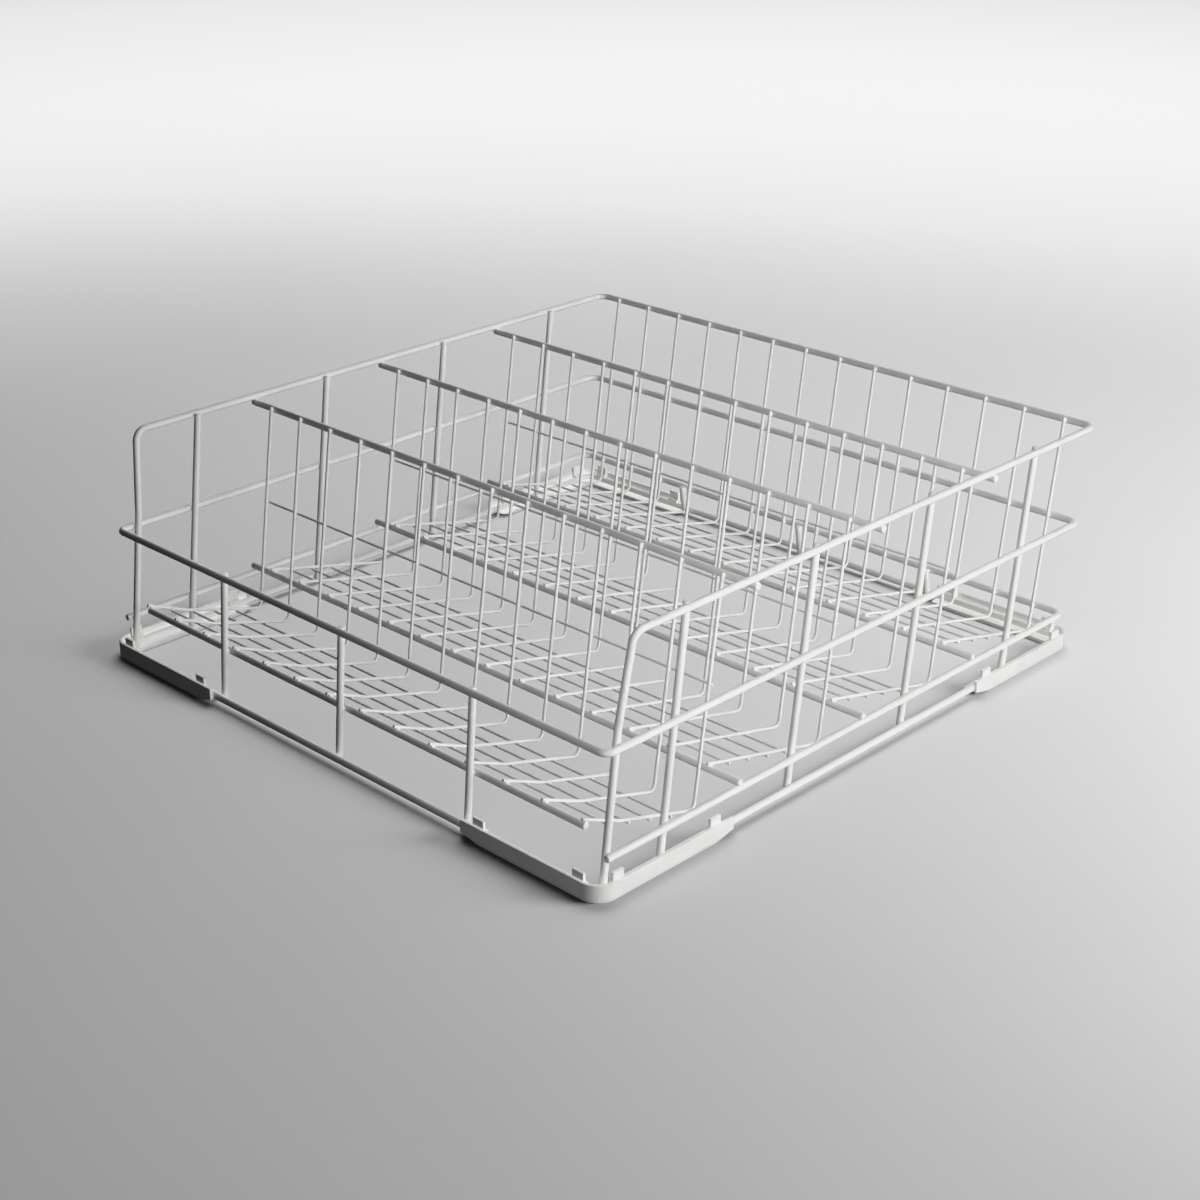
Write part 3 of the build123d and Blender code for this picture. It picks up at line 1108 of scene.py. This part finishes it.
@dataclass
class CornerGlide:
    """Moulded angle under a corner, with clip tabs that hold the base ring down."""

    layout: Layout
    corner: Corner
    height: float = 12.0
    flange: float = 13.5
    leg: float = 120.5
    runner_rise: float = 3.4
    runner_length: float = 16.0
    tab_width: float = 9.5
    tab_rise: float = 4.8
    tab_inset: float = 2.2
    tab_hook: float = 4.4
    tab_lip: float = 2.4
    tab_near: float = 19.5
    tab_far: float = 106.0
    edge: float = 1.2
    round_edge: float = 0.7
    gate_size: float = 2.0
    gate_rise: float = 0.25
    gate_z: float = 2.8
    gate_depth: float = 0.75
    gate_sides: int = 16
    corner_step: float = 6.0
    round_steps: int = 3
    round_from: float = 30.0
    cut_near: float = 1e-4

    def angle(self, bm: bmesh.types.BMesh) -> None:
        """Draw the angle's section along both legs, with a round corner between them.

        Args:
            bm: Mesh that takes the angle, its outer corner at the origin and its legs along -X and +Y.
        """
        wall, floor = self.layout.glide_wall, self.layout.glide_floor
        section = ((0, 0), (self.flange, 0), (self.flange, floor), (wall, floor), (wall, self.height),
                   (0, self.height))
        verts = [bm.verts.new((-self.leg, inward, z)) for inward, z in section]
        bm.faces.new(verts)
        radius = self.layout.glide_corner
        rim = draw_on(bm, rim_of(verts), Vector((self.leg - radius, 0, 0)))
        rim = bend_on(bm, rim, Vector((-radius, radius, 0)), Vector((0, 0, 1)), math.pi / 2,
                      self.corner_step)
        rim = draw_on(bm, rim, Vector((0, self.leg - radius, 0)))
        bmesh.ops.edgeloop_fill(bm, edges=rim)
        bmesh.ops.recalc_face_normals(bm, faces=bm.faces)

    def cut_runners(self, bm: bmesh.types.BMesh) -> None:
        """Slope the underside at both leg ends, so that the glide slides over edges.

        Args:
            bm: Mesh that holds the angle.
        """
        slope = Vector((-self.runner_rise, 0, -self.runner_length))
        start = Vector((-self.leg + self.runner_length, 0, 0))
        for swap in (Matrix.Identity(3), self.mirror()):
            cut = bmesh.ops.bisect_plane(bm, geom=[*bm.verts, *bm.edges, *bm.faces], dist=self.cut_near,
                                         plane_co=swap @ start, plane_no=swap @ slope, clear_outer=True)
            edges = [part for part in cut["geom_cut"] if isinstance(part, bmesh.types.BMEdge)]
            bmesh.ops.edgeloop_fill(bm, edges=edges)

    @staticmethod
    def mirror() -> Matrix:
        """Give the mirroring that swaps the two legs.

        Returns:
            The matrix.
        """
        return Matrix(((0, -1, 0), (-1, 0, 0), (0, 0, 1)))

    def raise_tabs(self, bm: bmesh.types.BMesh) -> None:
        """Raise the clip tabs behind the rim; each has a hook that reaches in over the base ring.

        Args:
            bm: Mesh that holds the angle.
        """
        wall, inset = self.layout.glide_wall, self.tab_inset
        wire_top = self.layout.base_z + Gauge.FRAME.radius + self.layout.glide_clear
        top, back, hook = self.height + self.tab_rise, inset + wall, wall + self.tab_hook
        outline = ((inset, self.height - self.edge), (inset, top), (back, top),
                   (back, wire_top + self.tab_lip), (hook, wire_top + self.edge), (hook, wire_top),
                   (wall - self.edge, wire_top))
        for swap in (Matrix.Identity(3), self.mirror()):
            for reach in (self.tab_near, self.tab_far):
                start = -reach - self.tab_width / 2
                verts = [bm.verts.new(swap @ Vector((start, inward, z))) for inward, z in outline]
                end = bm.faces.new(verts)
                made = bmesh.ops.extrude_face_region(bm, geom=[end], use_keep_orig=True)["geom"]
                bmesh.ops.translate(bm, vec=swap @ Vector((self.tab_width, 0, 0)),
                                    verts=[part for part in made if isinstance(part, bmesh.types.BMVert)])

    def leave_gate(self, bm: bmesh.types.BMesh) -> None:
        """Leave the small round stub of the mould's gate on the outer corner.

        Args:
            bm: Mesh that holds the angle.
        """
        radius = self.layout.glide_corner
        outward = Vector((1, -1, 0)).normalized()
        place = Vector((-radius, radius, self.gate_z)) + outward * (radius - self.gate_rise)
        facing = outward.to_track_quat("Z", "Y").to_matrix().to_4x4()
        bmesh.ops.create_cone(bm, cap_ends=True, segments=self.gate_sides, radius1=self.gate_size / 2,
                              radius2=self.gate_size / 2 - self.gate_rise, depth=self.gate_depth,
                              matrix=Matrix.Translation(place + outward * self.gate_rise / 2) @ facing)

    def build(self, plastic: bpy.types.Material) -> None:
        """Build the glide at its corner.

        Args:
            plastic: Material of the glide.
        """
        bm = bmesh.new()
        self.angle(bm)
        self.raise_tabs(bm)
        self.cut_runners(bm)
        self.leave_gate(bm)
        half = self.layout.rack / 2
        bmesh.ops.translate(bm, vec=(half, -half, 0), verts=bm.verts)
        bmesh.ops.rotate(bm, cent=(0, 0, 0), matrix=Matrix.Rotation(self.corner.value * math.pi / 2, 3, "Z"),
                         verts=bm.verts)
        bmesh.ops.translate(bm, vec=self.layout.at(0, self.layout.base_back / 2, 0), verts=bm.verts)
        node = f"glide_{self.corner.name.lower()}"
        piece = finish_piece(bm, f"{node}_moulded", plastic, [node])
        rounding = piece.modifiers.new("moulded edges", "BEVEL")
        rounding.width = self.round_edge * MM
        rounding.segments = self.round_steps
        rounding.limit_method = "ANGLE"
        rounding.angle_limit = math.radians(self.round_from)
        piece.modifiers.new("flat walls", "WEIGHTED_NORMAL")


class Lit(Enum):
    """Groups of objects that a lamp reaches or that stand in its way."""

    BASKET = "basket"
    LOW_PIECES = "low_pieces"
    FLOOR = "floor"


@dataclass(frozen=True)
class SoftLight:
    """Square studio lamp with flags, so that it lights the basket alone or the floor alone.

    The lamps of the floor are so soft that only the low pieces leave a shadow there.
    A lamp of the basket that only the floor shades goes on through the wires, as a wide bank of lamps does.
    Places and sizes are in metres, powers in watts and the spread of the beam in degrees.
    """

    name: str
    place: Place
    size: float
    power: float
    aim: Place = (0.0, 0.0, 0.08)
    reaches: Lit = Lit.FLOOR
    shaded_by: Lit = Lit.LOW_PIECES
    spread: float = 180.0

    def build(self, groups: dict[Lit, bpy.types.Collection]) -> None:
        """Set the lamp up.

        Args:
            groups: The groups of objects.
        """
        lamp = bpy.data.lights.new(self.name, "AREA")
        lamp.size = self.size
        lamp.energy = self.power
        lamp.spread = math.radians(self.spread)
        holder = bpy.data.objects.new(self.name, lamp)
        facing = (Vector(self.aim) - Vector(self.place)).to_track_quat("-Z", "Y").to_matrix().to_4x4()
        holder.matrix_world = Matrix.Translation(self.place) @ facing
        holder.light_linking.receiver_collection = groups[self.reaches]
        holder.light_linking.blocker_collection = groups[self.shaded_by]
        holder.visible_camera = False
        bpy.context.scene.collection.objects.link(holder)


@dataclass(frozen=True)
class Studio:
    """Floor, lamps and the camera of the photograph, in metres, degrees and millimetres of the camera."""

    place: Place = (0.98886, -1.00857, 0.67257)
    azimuth: float = 44.43
    elevation: float = 24.22
    roll: float = -0.28
    lens: float = 63.36
    sensor: float = 36.0
    floor_half: float = 8.0
    floor_cells: int = 64
    floor_flat: float = 4.5
    sweep_rise: float = 0.35
    ambient: str = "D0D0D0"
    ambient_strength: float = 0.12
    low_pieces: tuple[str, ...] = ("glide", "base_ring")
    lamps: tuple[SoftLight, ...] = (
        SoftLight("side key", (2.57, 0.52, 0.70), 1.4, 22.0, reaches=Lit.BASKET, shaded_by=Lit.BASKET),
        SoftLight("side fill", (2.57, 0.52, 0.70), 1.4, 46.0, reaches=Lit.BASKET, shaded_by=Lit.FLOOR),
        SoftLight("back light", (-1.86, 1.86, 1.25), 1.8, 42.0, reaches=Lit.BASKET, shaded_by=Lit.FLOOR),
        SoftLight("rear fill", (0.8, -0.8, 0.5), 0.3, 0.45, (0.12, 0.32, 0.1), Lit.BASKET, Lit.FLOOR, 50.0),
        SoftLight("floor key", (1.25, 0.7, 0.5), 0.7, 35.0),
        SoftLight("back fill", (-0.4, 1.8, 1.2), 1.6, 10.0, (-0.5, 1.0, 0.0)),
        SoftLight("floor wash", (-1.2, 1.2, 2.2), 1.8, 62.0, (-0.6, 0.6, 0.0)),
    )

    def build(self) -> None:
        """Set the studio up."""
        groups = {group: bpy.data.collections.new(group.value) for group in Lit}
        for piece in bpy.context.scene.collection.objects:
            groups[Lit.BASKET].objects.link(piece)
            if piece.name.startswith(self.low_pieces):
                groups[Lit.LOW_PIECES].objects.link(piece)
        groups[Lit.FLOOR].objects.link(self.build_floor())
        for lamp in self.lamps:
            lamp.build(groups)
        self.build_world()
        self.build_camera()

    def build_world(self) -> None:
        """Set the light that comes from all round, and the way that light turns into picture tones."""
        world = bpy.data.worlds.new("studio")
        world.use_nodes = True
        background = world.node_tree.nodes["Background"]
        background.inputs["Color"].default_value = linear(self.ambient)
        background.inputs["Strength"].default_value = self.ambient_strength
        bpy.context.scene.world = world
        bpy.context.scene.view_settings.view_transform = "Khronos PBR Neutral"

    def build_floor(self) -> bpy.types.Object:
        """Lay the floor, which rises all round as a sweep.

        Returns:
            The floor.
        """
        bm = bmesh.new()
        bmesh.ops.create_grid(bm, x_segments=self.floor_cells, y_segments=self.floor_cells,
                              size=self.floor_half)
        for vert in bm.verts:
            vert.co.z = self.sweep_rise * max(0.0, vert.co.xy.length - self.floor_flat) ** 2
        mesh = bpy.data.meshes.new("studio_floor")
        bm.to_mesh(mesh)
        bm.free()
        mesh.shade_smooth()
        mesh.materials.append(StudioPaper().material())
        floor = bpy.data.objects.new("studio_floor", mesh)
        bpy.context.scene.collection.objects.link(floor)
        # The floor's own light stays off the basket, whose lower sides are dark in the photograph.
        floor.visible_diffuse = False
        floor.visible_glossy = False
        floor.visible_shadow = False
        return floor

    def build_camera(self) -> None:
        """Set the camera where the photograph was taken from."""
        data = bpy.data.cameras.new("photo")
        data.lens = self.lens
        data.sensor_width = self.sensor
        side, rise, tilt = (math.radians(angle) for angle in (self.azimuth, self.elevation, self.roll))
        back = Vector((math.sin(side) * math.cos(rise), -math.cos(side) * math.cos(rise), math.sin(rise)))
        right = Vector((math.cos(side), math.sin(side), 0))
        turn = Matrix((right, back.cross(right), back)).transposed() @ Matrix.Rotation(tilt, 3, "Z")
        camera = bpy.data.objects.new("photo", data)
        camera.matrix_world = Matrix.Translation(self.place) @ turn.to_4x4()
        bpy.context.scene.collection.objects.link(camera)
        bpy.context.scene.camera = camera


def main() -> None:
    """Build the basket's looks and the studio."""
    logging.basicConfig(level=logging.INFO, format="%(name)s: %(message)s")
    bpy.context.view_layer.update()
    layout = Layout()
    coat = NylonCoat().material()
    plastic = MouldedGlide().material()
    frame_work = FrameWork(layout)
    frame_work.build(coat)
    for row in range(layout.rows):
        PlateRow(layout, frame_work, row).build(coat)
    for corner in Corner:
        CornerGlide(layout, corner).build(plastic)
    Studio().build()


if __name__ == "__main__":
    main()
